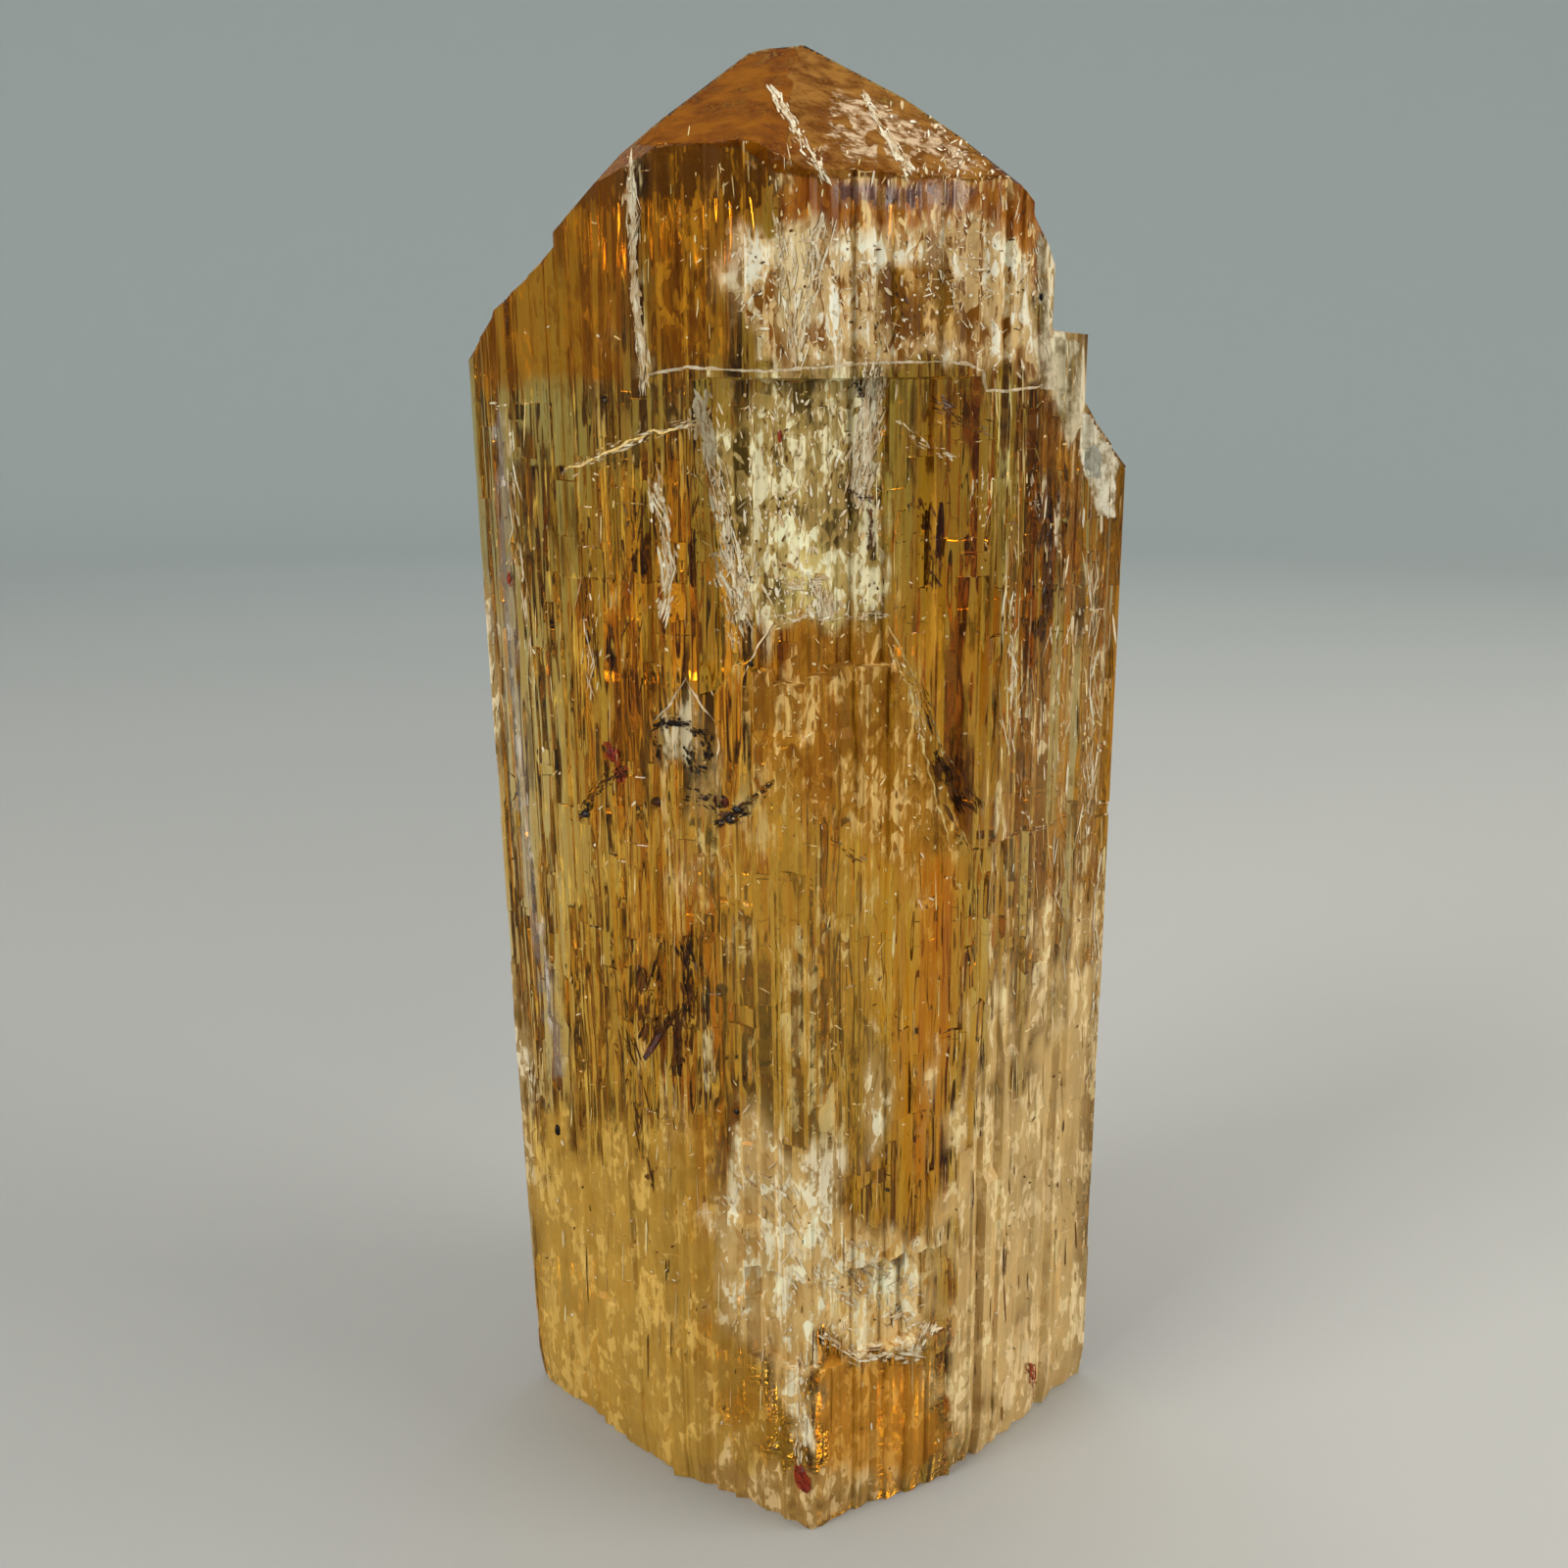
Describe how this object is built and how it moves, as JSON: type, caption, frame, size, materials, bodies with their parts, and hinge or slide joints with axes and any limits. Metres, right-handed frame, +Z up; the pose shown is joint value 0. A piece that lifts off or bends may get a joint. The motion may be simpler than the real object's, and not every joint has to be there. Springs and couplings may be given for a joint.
{
  "type": "topaz crystal",
  "caption": "Rough orange-yellow topaz crystal: a clear, striated prism with a sloping stepped tip and small side crystals, standing on its flat cleaved base.",
  "frame": {"origin": "centre of the flat cleaved base that the crystal stands on", "axes": "+Z up the long (c) axis to the pointed tip, -Y towards the obtuse front edge that the picture shows, +X to the picture's right"},
  "size_m": [0.0166, 0.013, 0.0361],
  "materials": {
    "orange_topaz": "clear golden-orange crystal with fine vertical striae, frosty patches and small dark inclusions"
  },
  "bodies": {
    "root": {"topaz_crystal": "orange_topaz"}
  },
  "joints": []
}
